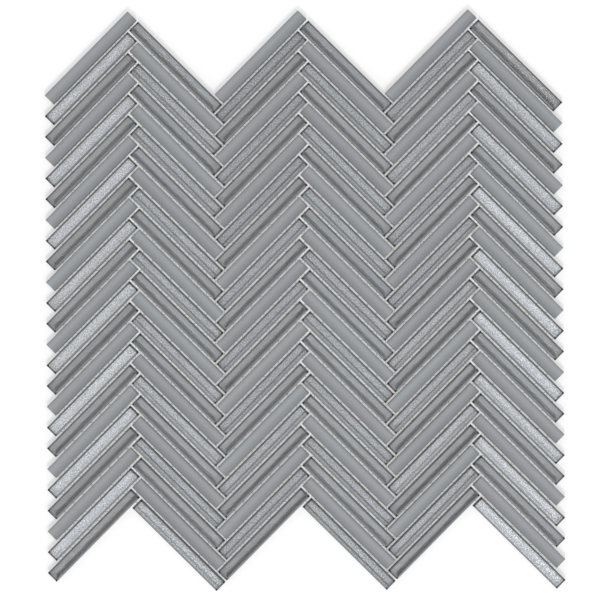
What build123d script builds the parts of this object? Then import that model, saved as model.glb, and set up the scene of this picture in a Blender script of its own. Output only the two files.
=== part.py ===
# Herringbone glass mosaic sheet, in millimetres.
# The sheet lies on its back: +X across, +Y the way the chevrons point, +Z out of the glass faces.
# The origin is at the middle of the sheet's footprint, on the surface that the backing mesh lies on.
import os
from math import sqrt

from build123d import *

os.makedirs("parts", exist_ok=True)

# Glass sticks, with fire-polished edges around the face
STICK_LENGTH = 66.0
STICK_WIDTH = 7.0
GLASS_THICKNESS = 6.0
FACE_ROUND = 1.0
LOWER_FLAT_ANGLE = 22.5
UPPER_FLAT_ANGLE = 67.5

# Layout: the same open joint along the sticks and at their ends
JOINT = 1.2
COLUMNS = 3
ROWS = 24
LEG_ANGLE = {"left": 45, "right": -45}

# Finishes from the top of each leg down, over and over
FINISH_ORDER = {
    "left": ("matte", "foil", "clear"),
    "right": ("clear", "matte", "foil"),
}

# Backing mesh: two layers of flat glass yarn laid across each other
YARN_WIDTH = 0.5
YARN_THICKNESS = 0.25
MESH_CELL = 5.0
MESH_SIDE_INSET = 6.0
MESH_EDGE_INSET = 1.5

# Everything below is worked out from the sizes above.
# The lattice runs diagonally: u is up and right, along a left leg's sticks; v is down and right, along a right leg's.
ROOT2 = sqrt(2)
row_step = STICK_WIDTH + JOINT
column_step = STICK_LENGTH + JOINT
sheet_width = (2 * STICK_LENGTH + row_step + 2 * (COLUMNS - 1) * column_step) / ROOT2
sheet_top = STICK_LENGTH / ROOT2
sheet_bottom = -(row_step * (2 * ROWS - 1) + STICK_WIDTH) / ROOT2
sheet_height = sheet_top - sheet_bottom
sheet_middle = (sheet_top + sheet_bottom) / 2
mesh_thickness = 2 * YARN_THICKNESS


def on_sheet(u, v):
    """A point of the lattice in the sheet's own X and Y, about its middle."""
    return (u + v) / ROOT2 - sheet_width / 2, (u - v) / ROOT2 - sheet_middle


def stick_place(side, column, row):
    """Where the middle of one stick's back goes, and how the stick is turned."""
    if side == "left":
        u = STICK_LENGTH / 2
        v = STICK_WIDTH / 2
    else:
        u = STICK_LENGTH - STICK_WIDTH / 2
        v = row_step + STICK_LENGTH / 2
    across = column * column_step
    down = row * row_step
    x, y = on_sheet(u + across - down, v + across + down)
    return Location((x, y, mesh_thickness), (0, 0, LEG_ANGLE[side]))


# One stick: a sawn glass bar, rounded over around its face by two narrow flats, since there are many sticks
lower_flat_rise = FACE_ROUND / ROOT2
with BuildPart() as stick:
    with BuildSketch():
        Rectangle(STICK_LENGTH, STICK_WIDTH)
    extrude(amount=GLASS_THICKNESS - FACE_ROUND)
    extrude(stick.faces().sort_by(Axis.Z)[-1], amount=lower_flat_rise, taper=LOWER_FLAT_ANGLE)
    extrude(stick.faces().sort_by(Axis.Z)[-1], amount=FACE_ROUND - lower_flat_rise, taper=UPPER_FLAT_ANGLE)

# The sticks of one finish in one leg of a column share a node and stand clear of each other
for column in range(COLUMNS):
    for side, order in FINISH_ORDER.items():
        for first_row, finish in enumerate(order):
            rows = range(first_row, ROWS, len(order))
            with BuildPart() as sticks:
                with Locations([stick_place(side, column, row) for row in rows]):
                    add(stick.part)
            name = f"{finish}_sticks_{side}_{column + 1}"
            sticks.part.label = name
            export_step(sticks.part, f"parts/{name}.step")

# Outline that the mesh is cut to: the chevron zigzag, drawn in from the edge of the glass
first_crest_x, crest_y = on_sheet(STICK_LENGTH - MESH_EDGE_INSET, MESH_EDGE_INSET)
leg_run = column_step / ROOT2
mesh_half_width = sheet_width / 2 - MESH_SIDE_INSET
mesh_drop = (STICK_WIDTH + (ROWS - 1) * row_step - 2 * MESH_EDGE_INSET) * ROOT2

turns = []
for turn in range(2 * COLUMNS - 1):
    depth = leg_run * (turn % 2)
    turns.append((first_crest_x + turn * leg_run, crest_y - depth))
left_end = (-mesh_half_width, crest_y - (first_crest_x + mesh_half_width))
right_end = (mesh_half_width, crest_y - (mesh_half_width - turns[-1][0]))

with BuildSketch() as mesh_outline:
    with BuildLine():
        crest = Polyline(left_end, *turns, right_end)
        foot = Polyline([(point.X, point.Y - mesh_drop) for point in crest.vertices().sort_by(Axis.X)])
        Line(crest @ 0, foot @ 0)
        Line(crest @ 1, foot @ 1)
    make_face()

# Lower layer: warp yarns up the sheet, on the surface
warp_count = int(2 * mesh_half_width / MESH_CELL)
with BuildPart() as mesh_warp:
    with BuildSketch():
        with GridLocations(MESH_CELL, 0, warp_count, 1):
            Rectangle(YARN_WIDTH, sheet_height)
        add(mesh_outline.sketch, mode=Mode.INTERSECT)
    extrude(amount=YARN_THICKNESS)
mesh_warp.part.label = "mesh_warp_yarns"
export_step(mesh_warp.part, "parts/mesh_warp_yarns.step")

# Upper layer: weft yarns across, on the warp, with the sticks bonded to them
weft_count = int(sheet_height / MESH_CELL)
with BuildPart() as mesh_weft:
    with BuildSketch(Plane.XY.offset(YARN_THICKNESS)):
        with GridLocations(0, MESH_CELL, 1, weft_count):
            Rectangle(sheet_width, YARN_WIDTH)
        add(mesh_outline.sketch, mode=Mode.INTERSECT)
    extrude(amount=YARN_THICKNESS)
mesh_weft.part.label = "mesh_weft_yarns"
export_step(mesh_weft.part, "parts/mesh_weft_yarns.step")

print(f"sheet {sheet_width:.1f} x {sheet_height:.1f} x {mesh_thickness + GLASS_THICKNESS:.2f} mm")
print(f"mesh yarns: {len(mesh_warp.part.solids())} warp, {len(mesh_weft.part.solids())} weft pieces")
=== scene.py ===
# %% [markdown]
# # A herringbone sheet of glass sticks
# The real object is a mosaic sheet: slim glass sticks in three columns of chevrons, held from
# behind by a glass-fibre mesh. Three finishes take turns down the sheet: frosted glass, clear glass
# over silver foil, and clear glass over grey paint. The solids are loaded first, and their box is
# kept, because nothing made here may leave it.

import math
import random

import bmesh
import bpy
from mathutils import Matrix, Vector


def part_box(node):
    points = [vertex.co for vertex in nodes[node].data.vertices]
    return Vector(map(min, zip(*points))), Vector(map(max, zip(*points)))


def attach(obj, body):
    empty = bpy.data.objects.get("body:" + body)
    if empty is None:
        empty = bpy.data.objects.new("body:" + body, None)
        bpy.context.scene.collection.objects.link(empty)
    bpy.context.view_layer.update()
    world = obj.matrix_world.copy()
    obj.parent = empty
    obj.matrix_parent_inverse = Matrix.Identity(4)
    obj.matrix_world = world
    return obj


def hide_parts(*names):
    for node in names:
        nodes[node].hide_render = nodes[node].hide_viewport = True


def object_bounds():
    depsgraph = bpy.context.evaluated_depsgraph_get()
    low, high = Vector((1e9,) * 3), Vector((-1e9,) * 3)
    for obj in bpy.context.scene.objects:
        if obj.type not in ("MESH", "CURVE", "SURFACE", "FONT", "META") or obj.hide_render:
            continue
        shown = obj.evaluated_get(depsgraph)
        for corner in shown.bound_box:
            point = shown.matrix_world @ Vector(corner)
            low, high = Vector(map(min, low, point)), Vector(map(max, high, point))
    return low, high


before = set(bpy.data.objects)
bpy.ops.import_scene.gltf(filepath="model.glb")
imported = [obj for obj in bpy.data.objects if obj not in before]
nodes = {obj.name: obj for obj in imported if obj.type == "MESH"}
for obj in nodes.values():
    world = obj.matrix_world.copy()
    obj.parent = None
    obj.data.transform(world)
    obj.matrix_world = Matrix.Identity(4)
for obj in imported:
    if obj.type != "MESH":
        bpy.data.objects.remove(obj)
cad_low, cad_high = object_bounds()
bpy.ops.object.select_all(action="DESELECT")
sheet_size = [round(high - low, 4) for low, high in zip(cad_low, cad_high)]
print("nodes:", len(nodes), "sheet:", sheet_size)

# %% [markdown]
# ## How big a stick is
# Every stick is the same size, and lies at 45 degrees, so the box of a node gives length and width
# together as one span. The width is known, and the length follows from the span. Glass can't share
# a face with the yarn under it, or the two would flicker in a render, so the glass is lifted by the
# thickness of the glue.

# %% Measure a stick
MM = 0.001
STICK_WIDTH = 7.0 * MM
GLUE = 0.04 * MM

node_low, node_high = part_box("matte_sticks_left_1")
stick_span = node_high[0] - node_low[0]
stick_length = stick_span * math.sqrt(2) - STICK_WIDTH
glass_back = node_low[2] + GLUE
glass_face = node_high[2]
stick_size = (stick_length, STICK_WIDTH, glass_face - glass_back)
print("a stick, in mm:", [round(side / MM, 2) for side in stick_size])

# %% [markdown]
# ## Tools for the finishes
# A finish is a tree of nodes: patterns on one side, a shader on the other. Wiring each tree by hand
# in full would hide what is mixed with what, so these few helpers start a tree, add a node and join
# two sockets.

# %% Start a finish and wire it
def start_finish(name):
    finish = bpy.data.materials.new(name)
    finish.use_nodes = True
    finish.node_tree.nodes.clear()
    return finish


def add_node(finish, kind, **settings):
    node = finish.node_tree.nodes.new(kind)
    for key, value in settings.items():
        setattr(node, key, value)
    return node


def wire(finish, out_socket, in_socket):
    finish.node_tree.links.new(out_socket, in_socket)


def end_finish(finish, shader_socket):
    output = add_node(finish, "ShaderNodeOutputMaterial")
    wire(finish, shader_socket, output.inputs["Surface"])
    print("finish:", finish.name, "nodes:", len(finish.node_tree.nodes))
    return finish


print("a finish is started, wired and ended by its helpers")

# %% [markdown]
# ## Patterns
# Three things vary over a stick. Noise in Object coordinates gives the clouds, the etching and the
# grain. A tone that each stick carries as an attribute makes one stick a little lighter than the
# next, as glass from one batch is, and on the foil sticks it also holds painted sheen, set leg by
# leg. And a UV map, drawn like a plan of the stick, says how far along (X) and across (Y) the stick
# a point lies.

# %% Pattern helpers
def object_place(finish):
    return add_node(finish, "ShaderNodeTexCoord").outputs["Object"]


def noise(finish, place, per_metre, detail=2.0):
    node = add_node(finish, "ShaderNodeTexNoise")
    node.inputs["Scale"].default_value = per_metre
    node.inputs["Detail"].default_value = detail
    wire(finish, place, node.inputs["Vector"])
    return node.outputs["Fac"]


def stick_tone_and_sheen(finish):
    return add_node(finish, "ShaderNodeAttribute", attribute_name="stick_tone_and_sheen").outputs["Fac"]


def one_way(finish, place, way):
    parts = add_node(finish, "ShaderNodeSeparateXYZ")
    wire(finish, place, parts.inputs["Vector"])
    return parts.outputs[way]


def on_plan(finish, way):
    plan = add_node(finish, "ShaderNodeUVMap", uv_map="stick_plan")
    return one_way(finish, plan.outputs["UV"], way)


def reckon(finish, operation, first, second):
    node = add_node(finish, "ShaderNodeMath", operation=operation)
    for socket, value in zip(node.inputs, (first, second)):
        if isinstance(value, float):
            socket.default_value = value
        else:
            wire(finish, value, socket)
    return node.outputs["Value"]


def halfway(finish, first, second):
    return reckon(finish, "MULTIPLY", reckon(finish, "ADD", first, second), 0.5)


print("patterns read Object coordinates, stick_tone_and_sheen and stick_plan")

# %% [markdown]
# ## From a pattern to a colour
# A colour ramp turns a number into a colour. The greys of the sheet lean a little to blue, so one
# helper makes such a cool grey from its lightness. A new ramp has two stops, and the others it
# needs are added in its middle, before each one goes to its place.

# %% Ramp helpers
COOL_TINT = (0.968, 1.0, 1.046)
RAMP_MIDDLE = 0.5


def grey(lightness):
    return (lightness, lightness, lightness, 1.0)


def cool_grey(lightness):
    return (*(tint * lightness for tint in COOL_TINT), 1.0)


def ramp(finish, value, stops):
    node = add_node(finish, "ShaderNodeValToRGB")
    elements = node.color_ramp.elements
    while len(elements) < len(stops):
        elements.new(RAMP_MIDDLE)
    for element, (position, colour) in zip(elements, stops):
        element.position = position
        element.color = colour
    wire(finish, value, node.inputs["Fac"])
    return node.outputs["Color"]


print("cool grey of 0.3:", [round(channel, 3) for channel in cool_grey(0.3)])

# %% [markdown]
# ## Mixing colours and raising relief
# Two colours are multiplied, where one darkens the other, or blended by a share. A Mix node keeps
# sockets of the same name for each kind of data, so its colour sockets go by their number. A bump
# node turns a pattern into relief that is too fine to model.

# %% Mix and bump helpers
MIX_FIRST, MIX_SECOND, MIX_RESULT = 6, 7, 2


def mix_node(finish, kind, first, second):
    node = add_node(finish, "ShaderNodeMix", data_type="RGBA", blend_type=kind)
    wire(finish, first, node.inputs[MIX_FIRST])
    wire(finish, second, node.inputs[MIX_SECOND])
    return node


def multiply(finish, first, second):
    node = mix_node(finish, "MULTIPLY", first, second)
    node.inputs["Factor"].default_value = 1.0
    return node.outputs[MIX_RESULT]


def blend(finish, share, first, second):
    node = mix_node(finish, "MIX", first, second)
    wire(finish, share, node.inputs["Factor"])
    return node.outputs[MIX_RESULT]


def bump(finish, height, strength, distance):
    node = add_node(finish, "ShaderNodeBump")
    node.inputs["Strength"].default_value = strength
    node.inputs["Distance"].default_value = distance
    wire(finish, height, node.inputs["Height"])
    return node.outputs["Normal"]


print("colours are multiplied or blended, and relief is bumped")

# %% [markdown]
# ## Frosted glass
# The frosted sticks are etched, so their face scatters light, and no edge or backing shows sharply
# through it. What is left is a soft shade across the stick, which the deep walls cast: lightest
# just above the middle, and deepest along the lower edge. True rough glass over paint would give
# that with much noise, so an opaque satin with that shade painted in a ramp across the stick stands
# for it.

# %% Make the frosted glass
def make_frosted_glass():
    finish = start_finish("frosted_glass")
    place = object_place(finish)
    shader = add_node(finish, "ShaderNodeBsdfPrincipled")
    # painted shade across the stick: lightest just above the middle, deepest along the lower edge
    shade = ramp(finish, on_plan(finish, "Y"), [
        (0.02, cool_grey(0.205)), (0.16, cool_grey(0.210)),
        (0.64, cool_grey(0.315)), (0.92, cool_grey(0.282)),
    ])
    cloud = noise(finish, place, per_metre=70.0, detail=3.0)
    batch = ramp(finish, halfway(finish, cloud, stick_tone_and_sheen(finish)), [
        (0.2, (0.905, 0.885, 0.9, 1.0)), (0.8, (0.975, 1.0, 1.0, 1.0)),
    ])
    etching = noise(finish, place, per_metre=1500.0)
    speck = ramp(finish, etching, [(0.3, grey(0.91)), (0.7, grey(1.0))])
    colour = multiply(finish, multiply(finish, shade, batch), speck)
    wire(finish, colour, shader.inputs["Base Color"])
    shader.inputs["Roughness"].default_value = 0.5
    etched = bump(finish, etching, strength=0.12, distance=0.05 * MM)
    wire(finish, etched, shader.inputs["Normal"])
    return end_finish(finish, shader.outputs["BSDF"])


frosted_glass = make_frosted_glass()

# %% [markdown]
# ## Polished glass
# The face of a clear or a foil stick is fire-polished: bright, hardly wavy, and see-through to the
# backing six millimetres down. Light that has to find its way through glass makes a noisy picture,
# so for shadow rays this glass is simply transparent. That keeps the walls' shadow on the backing,
# which is what makes these sticks look deep.

# %% Make the polished glass
def one_or_other(finish, share, first, second):
    node = add_node(finish, "ShaderNodeMixShader")
    for socket, source in zip(node.inputs, (share, first, second)):
        wire(finish, source, socket)
    return node.outputs["Shader"]


def let_light_by(finish, shader_socket):
    clear_way = add_node(finish, "ShaderNodeBsdfTransparent").outputs["BSDF"]
    shadow_ray = add_node(finish, "ShaderNodeLightPath").outputs["Is Shadow Ray"]
    return one_or_other(finish, shadow_ray, shader_socket, clear_way)


def make_polished_glass():
    finish = start_finish("polished_glass")
    place = object_place(finish)
    glass = add_node(finish, "ShaderNodeBsdfPrincipled")
    glass.inputs["Base Color"].default_value = (0.97, 0.98, 0.98, 1.0)
    glass.inputs["IOR"].default_value = 1.5
    glass.inputs["Transmission Weight"].default_value = 1.0
    wipe = noise(finish, place, per_metre=90.0, detail=3.0)
    dullness = ramp(finish, wipe, [(0.35, grey(0.01)), (0.75, grey(0.05))])
    wire(finish, dullness, glass.inputs["Roughness"])
    wave = noise(finish, place, per_metre=160.0)
    wavy = bump(finish, wave, strength=0.1, distance=0.1 * MM)
    wire(finish, wavy, glass.inputs["Normal"])
    return end_finish(finish, let_light_by(finish, glass.outputs["BSDF"]))


polished_glass = make_polished_glass()

# %% [markdown]
# ## Ground edges
# Around a clear or a foil stick runs a crisp dark line: the sawn walls and the eased edge, which
# send light away from the eye. That darkness is painted shade in their colour: dark along the upper
# edge and at the ends, greyer along the lower edge, which faces the foot lamp, and darkest at the
# corners. A matt, streaky finish on those faces gives the painted line from every side, with ramps
# of painted shade across the stick for its sides and for the eased edge at its ends, and two that
# say where the end is: along the stick, and up its wall. The long edges cast a shadow on paint.
# Over foil and at the ends it is lost in the light thrown about in the glass, so there a second
# edge finish lets light by.

# %% Make the ground edges
def make_ground_edge(name, lets_light_by):
    finish = start_finish(name)
    place = object_place(finish)
    shader = add_node(finish, "ShaderNodeBsdfPrincipled")
    grind = noise(finish, place, per_metre=900.0, detail=3.0)
    across = on_plan(finish, "Y")
    # painted shade of the eased edge and walls: darkest along the upper edge, greyer along the
    # lower edge, which faces the foot lamp
    painted_edge_shade = ramp(finish, across, [
        (0.15, cool_grey(0.25)), (0.84, cool_grey(0.18)), (0.92, cool_grey(0.145)),
    ])
    # painted shade at the ends, darkest at the corners
    corners = ramp(finish, across, [
        (0.15, grey(0.05)), (0.21, grey(0.55)), (0.79, grey(0.55)), (0.85, grey(0.05)),
    ])
    at_end = ramp(finish, on_plan(finish, "X"), [
        (0.014, grey(1.0)), (0.022, grey(0.0)), (0.978, grey(0.0)), (0.986, grey(1.0)),
    ])
    height = reckon(finish, "DIVIDE", one_way(finish, place, "Z"), glass_face)
    on_rim = ramp(finish, height, [(0.82, grey(0.0)), (0.85, grey(1.0))])
    end_rim = multiply(finish, at_end, on_rim)
    # the painted dark line: the end's eased edge takes the corner shade, the rest the side shade
    painted_outline = blend(finish, end_rim, painted_edge_shade, multiply(finish, painted_edge_shade, corners))
    streak = ramp(finish, grind, [(0.3, grey(0.7)), (0.7, grey(1.0))])
    wire(finish, multiply(finish, painted_outline, streak), shader.inputs["Base Color"])
    shader.inputs["Roughness"].default_value = 0.6
    ground = bump(finish, grind, strength=0.1, distance=0.05 * MM)
    wire(finish, ground, shader.inputs["Normal"])
    surface = shader.outputs["BSDF"]
    return end_finish(finish, let_light_by(finish, surface) if lets_light_by else surface)


# both edge finishes carry the same painted shade in their colour; the second lets light by
ground_edge_with_painted_shade = make_ground_edge("ground_edge_with_painted_shade", lets_light_by=False)
light_passing_edge_with_painted_shade = make_ground_edge("light_ground_edge", lets_light_by=True)

# %% [markdown]
# ## Silver foil
# Behind the foil sticks lies crinkled metal leaf. Its grain is about half a millimetre, each
# crinkle catching light on its own. Along the lower edge its colour holds a painted shadow of the
# lower wall, a dark crease, then a painted reflection, a brighter strip. On the brightest sticks
# the crease hardly shows. One ramp across the stick draws this for dim leaf, another for bright
# leaf, and the stick's tone and painted sheen blend them. The noise draws the grain, and tilts the
# surface through the bump.

# %% Make the silver foil
def make_silver_foil():
    finish = start_finish("silver_foil")
    place = object_place(finish)
    shader = add_node(finish, "ShaderNodeBsdfPrincipled")
    across = on_plan(finish, "Y")
    tone = stick_tone_and_sheen(finish)
    # painted shadow of the lower wall (the dark crease) and painted reflection (the brighter strip
    # beside it), for dim leaf
    dim_foil_shadow_and_reflection = ramp(finish, across, [
        (0.10, cool_grey(0.56)), (0.17, cool_grey(0.80)), (0.23, cool_grey(0.80)),
        (0.33, cool_grey(0.14)), (0.45, cool_grey(0.70)), (0.95, cool_grey(0.72)),
    ])
    # the same painted reflection with only a faint painted shadow, for bright leaf
    bright_foil_shadow_and_reflection = ramp(finish, across, [
        (0.10, cool_grey(0.72)), (0.20, cool_grey(0.84)), (0.36, cool_grey(0.68)),
        (0.50, cool_grey(0.75)), (0.95, cool_grey(0.77)),
    ])
    crinkle = noise(finish, place, per_metre=1600.0)
    grain = ramp(finish, crinkle, [(0.36, grey(0.40)), (0.64, grey(1.05))])
    # tone and painted sheen brighten the leaf: random from stick to stick, higher on the legs given
    # more sheen
    tone_and_sheen_gain = ramp(finish, tone, [(0.0, grey(0.62)), (1.0, grey(1.0))])
    leaf_with_painted_light = multiply(finish, blend(finish, tone, dim_foil_shadow_and_reflection, bright_foil_shadow_and_reflection), tone_and_sheen_gain)
    wire(finish, multiply(finish, leaf_with_painted_light, grain), shader.inputs["Base Color"])
    shader.inputs["Metallic"].default_value = 0.5
    shader.inputs["Roughness"].default_value = 0.45
    crinkled = bump(finish, crinkle, strength=0.35, distance=0.15 * MM)
    wire(finish, crinkled, shader.inputs["Normal"])
    return end_finish(finish, shader.outputs["BSDF"])


silver_foil = make_silver_foil()

# %% [markdown]
# ## Back paint
# The clear sticks are painted mid-grey on the back. Paint rolled on glass is even, with faint
# clouds, fine specks and a tone that differs from stick to stick, and that is all this finish
# holds: the shade in the picture comes from the deep walls.

# %% Make the back paint
def make_back_paint():
    finish = start_finish("back_paint")
    place = object_place(finish)
    shader = add_node(finish, "ShaderNodeBsdfPrincipled")
    cloud = noise(finish, place, per_metre=180.0, detail=3.0)
    coat = ramp(finish, halfway(finish, cloud, stick_tone_and_sheen(finish)), [
        (0.2, cool_grey(0.405)), (0.8, cool_grey(0.465)),
    ])
    dust = noise(finish, place, per_metre=1200.0)
    speck = ramp(finish, dust, [(0.3, grey(0.84)), (0.7, grey(1.0))])
    wire(finish, multiply(finish, coat, speck), shader.inputs["Base Color"])
    shader.inputs["Roughness"].default_value = 0.5
    return end_finish(finish, shader.outputs["BSDF"])


back_paint = make_back_paint()

# %% [markdown]
# ## Mesh yarn
# The mesh is made of flat strands of coated glass fibre, laid across each other. Only clean white
# shows in the joints of the photograph, so the strands are white and mostly see-through. Noise that
# is stretched along the strand gives its fibres. Warp and weft run at right angles, so each gets
# its own stretch.

# %% Make the yarn
ALONG_FIBRE = 0.06
ACROSS_FIBRE = 1.0


def make_mesh_yarn(name, stretch):
    finish = start_finish(name)
    fibres = add_node(finish, "ShaderNodeMapping")
    wire(finish, object_place(finish), fibres.inputs["Vector"])
    fibres.inputs["Scale"].default_value = stretch
    strand = noise(finish, fibres.outputs["Vector"], per_metre=4000.0)
    shader = add_node(finish, "ShaderNodeBsdfPrincipled")
    white = ramp(finish, strand, [(0.3, (0.78, 0.78, 0.77, 1.0)), (0.7, (0.93, 0.93, 0.92, 1.0))])
    wire(finish, white, shader.inputs["Base Color"])
    shader.inputs["Roughness"].default_value = 0.55
    shader.inputs["Alpha"].default_value = 0.15
    fibrous = bump(finish, strand, strength=0.3, distance=0.05 * MM)
    wire(finish, fibrous, shader.inputs["Normal"])
    return end_finish(finish, shader.outputs["BSDF"])


yarn_finish = {
    "mesh_warp_yarns": make_mesh_yarn("warp_yarn", (ACROSS_FIBRE, ALONG_FIBRE, ACROSS_FIBRE)),
    "mesh_weft_yarns": make_mesh_yarn("weft_yarn", (ALONG_FIBRE, ACROSS_FIBRE, ACROSS_FIBRE)),
}

# %% [markdown]
# ## Choosing edges by where they are
# A bevel acts on the selected edges, so the edges have to be found first. By hand one would click
# them. In code each edge is asked a plain question: do both its ends lie at the height of the face?

# %% Pick the edges to ease
NEAR = 0.001 * MM


def is_face_rim(edge):
    return all(vert.co.z > glass_face - NEAR for vert in edge.verts)


def select_edges(piece, wanted):
    bpy.ops.mesh.select_mode(type="EDGE")
    bpy.ops.mesh.select_all(action="DESELECT")
    shape = bmesh.from_edit_mesh(piece.data)
    for edge in shape.edges:
        edge.select_set(wanted(edge))
    bmesh.update_edit_mesh(piece.data)
    return sum(edge.select for edge in shape.edges)


print(f"the face rim lies {glass_face / MM:.2f} mm up")

# %% [markdown]
# ## One stick
# A stick is a sawn bar of glass with square ends, and with its face edges melted round. It starts
# as a cube at the stick's size and place, and the rim of its face is bevelled in a few steps. The
# stick repeats 144 times, so a few dozen faces have to do.

# %% Model one stick
FACE_ROUND = 1.0 * MM
ROUND_STEPS = 4


def model_stick(name):
    bpy.ops.object.select_all(action="DESELECT")
    middle = (0, 0, (glass_back + glass_face) / 2)
    bpy.ops.mesh.primitive_cube_add(size=1.0, calc_uvs=False, location=middle)
    stick = bpy.context.object
    stick.name = name
    stick.scale = stick_size
    bpy.ops.object.transform_apply(location=True, rotation=True, scale=True)
    bpy.ops.object.mode_set(mode="EDIT")
    rim = select_edges(stick, is_face_rim)
    bpy.ops.mesh.bevel(offset=FACE_ROUND, segments=ROUND_STEPS, affect="EDGES")
    bpy.ops.object.mode_set(mode="OBJECT")
    print(name, "rim edges:", rim, "faces:", len(stick.data.polygons))
    return stick


models = {kind: model_stick(f"{kind}_stick") for kind in ("matte", "foil", "clear")}

# %% [markdown]
# ## A plan of the stick
# The ramps need to know how far across the stick a point is. A UV map can say that: it is drawn as
# the plan view of the stick, with the lower long edge at 0 and the upper one at 1. It stays right
# when a copy is turned and moved, which Object coordinates would not.

# %% Draw the plan
def draw_plan(stick):
    plan = stick.data.uv_layers.new(name="stick_plan")
    for loop in stick.data.loops:
        corner = stick.data.vertices[loop.vertex_index].co
        plan.data[loop.index].uv = (corner.x / stick_length + 0.5, corner.y / STICK_WIDTH + 0.5)
    return len(plan.data)


for kind, stick in models.items():
    print(kind, "plan corners:", draw_plan(stick))

# %% [markdown]
# ## Dressing the sticks
# A frosted stick is frosted all over. The other two kinds are polished on the face, ground on the
# eased edge and the walls, and coated on the back, so their faces are sorted by the way they point.

# %% Give the faces their finishes
FACE_UP = 0.99
BACK_DOWN = -0.9
SIDEWAYS = 0.1


def pick_finish(way, coat):
    if way.z > FACE_UP:
        return polished_glass
    if way.z < BACK_DOWN:
        return coat
    at_end = abs(way.x) > SIDEWAYS
    below = way.y < -SIDEWAYS
    if at_end or (below and coat == silver_foil):
        return light_passing_edge_with_painted_shade
    return ground_edge_with_painted_shade


def dress_stick(stick, coat):
    finishes = [polished_glass, ground_edge_with_painted_shade, light_passing_edge_with_painted_shade, coat]
    for finish in finishes:
        stick.data.materials.append(finish)
    for face in stick.data.polygons:
        face.material_index = finishes.index(pick_finish(face.normal, coat))


models["matte"].data.materials.append(frosted_glass)
dress_stick(models["foil"], silver_foil)
dress_stick(models["clear"], back_paint)
for kind, stick in models.items():
    print(kind, "wears", [finish.name for finish in stick.data.materials])

# %% [markdown]
# ## Laying one stick
# Each stick of the sheet is a copy with a mesh of its own. Its tone, from 0 for dull to 1 for
# light, is written on its faces; on foil that tone also carries painted sheen. A left leg's sticks
# rise to the right, and a right leg's fall.

# %% Copy a stick to its place
LEG_ANGLE = {"left": 45.0, "right": -45.0}


def lay_stick(model, place, angle, tone):
    stick = model.copy()
    stick.data = model.data.copy()
    bpy.context.collection.objects.link(stick)
    stick.location = place
    stick.rotation_euler = (0, 0, math.radians(angle))
    tones = stick.data.attributes.new("stick_tone_and_sheen", "FLOAT", "FACE")
    tones.data.foreach_set("value", [tone] * len(stick.data.polygons))
    return stick


print("legs turn by", LEG_ANGLE)

# %% [markdown]
# ## Laying a node
# A node holds the eight sticks of one finish in one leg of a column. They lie one above another, so
# the node's box gives every place: the middle across, and even steps from the top to the bottom.
# The copies' places are applied to their meshes, and they are joined to one piece, which rides on
# the sheet and stands in for the node's solids.

# %% Lay all the sticks
STICKS_IN_NODE = 8
# ranges of foil tone, painted sheen set leg by leg: the two outer legs brightest, the middle column
# dimmest
MIDDLE_FOIL_SHEEN = (0.0, 0.22)
FOIL_SHEEN_BY_LEG = {
    "foil_sticks_left_1": (0.8, 1.0),
    "foil_sticks_left_3": (0.0, 0.45),
    "foil_sticks_right_1": (0.1, 0.4),
    "foil_sticks_right_3": (0.65, 1.0),
}
TONE_SEED = 24
random.seed(TONE_SEED)


def pick_tone_and_sheen(name):
    # foil takes painted sheen from its leg's range; the other sticks a random tone
    if name.startswith("foil"):
        return random.uniform(*FOIL_SHEEN_BY_LEG.get(name, MIDDLE_FOIL_SHEEN))
    return random.random()


def lay_node(name):
    kind, _, leg, _ = name.split("_")
    low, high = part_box(name)
    step = (high[1] - low[1] - stick_span) / (STICKS_IN_NODE - 1)
    bpy.ops.object.select_all(action="DESELECT")
    for row in range(STICKS_IN_NODE):
        place = ((low[0] + high[0]) / 2, high[1] - stick_span / 2 - row * step, 0)
        stick = lay_stick(models[kind], place, LEG_ANGLE[leg], pick_tone_and_sheen(name))
        stick.select_set(True)
        bpy.context.view_layer.objects.active = stick
    bpy.ops.object.transform_apply(location=True, rotation=True, scale=True)
    bpy.ops.object.join()
    laid = bpy.context.object
    laid.name = f"{name}_glass"
    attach(laid, "root")
    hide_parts(name)
    return laid


laid_nodes = [lay_node(name) for name in sorted(nodes) if "sticks" in name]
for model in models.values():
    bpy.data.objects.remove(model)
print("laid nodes:", len(laid_nodes), "faces:", sum(len(laid.data.polygons) for laid in laid_nodes))

# %% [markdown]
# ## The mesh behind the sticks
# The yarns of the solids already have the right shape, flat strands cut to the zigzag of the sheet,
# so they stay, and only get their finish.

# %% Dress the mesh
for name, finish in yarn_finish.items():
    nodes[name].data.materials.clear()
    nodes[name].data.materials.append(finish)
    print(name, "wears", finish.name)

# %% [markdown]
# ## The floor
# The sheet is shown on plain white. A floor that is lit only by the lamps would come out grey, so
# half of what the camera, a mirror or glass sees of it is a steady white, and the other half is
# paper that takes the sheet's shadow. In the narrow joints the paper half is dark, which gives the
# joints their soft grey.

# %% Lay the floor
STEADY_WHITE = 0.49
PAPER_WHITE = 0.97
FLOOR_SIZE = 6.0
FLOOR_GAP = 0.2 * MM

bpy.ops.object.select_all(action="DESELECT")
bpy.ops.mesh.primitive_plane_add(size=FLOOR_SIZE, location=(0, 0, cad_low[2] - FLOOR_GAP))
floor = bpy.context.object
floor.name = "floor"
floor_paper = start_finish("floor_paper")
paper = add_node(floor_paper, "ShaderNodeBsdfDiffuse")
paper.inputs["Color"].default_value = grey(PAPER_WHITE)
white = add_node(floor_paper, "ShaderNodeEmission")
seen_by = add_node(floor_paper, "ShaderNodeLightPath")
seen = seen_by.outputs["Is Camera Ray"]
for ray in ("Is Glossy Ray", "Is Transmission Ray"):
    seen = reckon(floor_paper, "MAXIMUM", seen, seen_by.outputs[ray])
steady = reckon(floor_paper, "MULTIPLY", seen, STEADY_WHITE)
seen_floor = one_or_other(floor_paper, steady, paper.outputs["BSDF"], white.outputs["Emission"])
floor.data.materials.append(end_finish(floor_paper, seen_floor))
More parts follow.
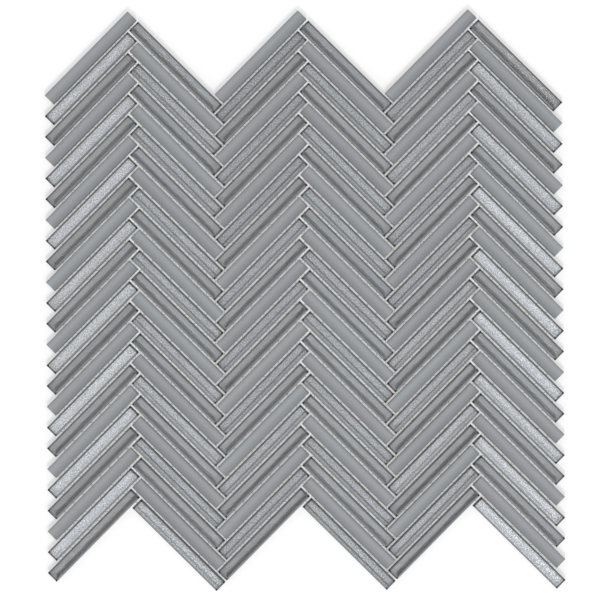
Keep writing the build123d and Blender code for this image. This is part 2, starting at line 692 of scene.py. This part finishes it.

# %% [markdown]
# ## The lamps
# One softbox stands far beyond the foot of the sheet, so each stick's lower wall throws its shade
# on the backing, as in the photograph, and the foot is hardly brighter than the head. Two weak ones
# hang beyond the left and right edges, where the foil shines most, from them and from painted
# sheen: towards the head on the left, and towards the foot on the right.

# %% Hang the lamps
def add_softbox(name, place, size, power):
    softbox = bpy.data.lights.new(name, "AREA")
    softbox.shape = "RECTANGLE"
    softbox.size, softbox.size_y = size
    softbox.energy = power
    lamp = bpy.data.objects.new(name, softbox)
    bpy.context.collection.objects.link(lamp)
    lamp.location = place
    lamp.rotation_euler = (-lamp.location).to_track_quat("-Z", "Y").to_euler()
    print(name, "at", place, "watts:", power)


add_softbox("foot_softbox", place=(0.0, -2.3, 4.38), size=(0.62, 0.62), power=90.0)
add_softbox("left_softbox", place=(-0.55, 0.3, 1.2), size=(0.25, 0.5), power=1.2)
add_softbox("right_softbox", place=(0.55, -0.3, 1.2), size=(0.25, 0.5), power=1.7)

# %% [markdown]
# ## The sky
# An even sky fills the shadows. Its strength is set so that lamps and sky together light a white
# card to about white, and a colour then comes out as it is written.

# %% Light the sky
SKY_STRENGTH = 0.67

sky = bpy.data.worlds.new("studio_sky")
bpy.context.scene.world = sky
sky.use_nodes = True
sky_light = sky.node_tree.nodes["Background"]
sky_light.inputs["Color"].default_value = grey(1.0)
sky_light.inputs["Strength"].default_value = SKY_STRENGTH
print("sky strength:", SKY_STRENGTH)

# %% [markdown]
# ## The camera
# The photograph looks straight down from far away, turned by less than a degree. The lens follows
# from how many pixels a metre of glass face takes in a frame 600 pixels wide.

# %% Set the camera
CAMERA_HEIGHT = 2.8
CAMERA_PLACE = (-2.7 * MM, 0.2 * MM, CAMERA_HEIGHT)
CAMERA_TURN = -0.39
FRAME_PIXELS = 600
PIXELS_PER_METRE = 1791.0
SENSOR = 36.0

lens = bpy.data.cameras.new("camera")
lens.sensor_fit = "HORIZONTAL"
lens.sensor_width = SENSOR
lens.lens = SENSOR * PIXELS_PER_METRE * (CAMERA_HEIGHT - glass_face) / FRAME_PIXELS
camera = bpy.data.objects.new("camera", lens)
bpy.context.collection.objects.link(camera)
camera.location = CAMERA_PLACE
camera.rotation_euler = (0, 0, math.radians(CAMERA_TURN))
bpy.context.scene.camera = camera
bpy.context.scene.view_settings.view_transform = "Standard"
print(f"lens: {lens.lens:.1f} mm")

# %% [markdown]
# ## Measuring up
# The box of the solids is printed before the frame is closed.

# %% Print the solids' box and finish
print("solids:", list(cad_low), list(cad_high))
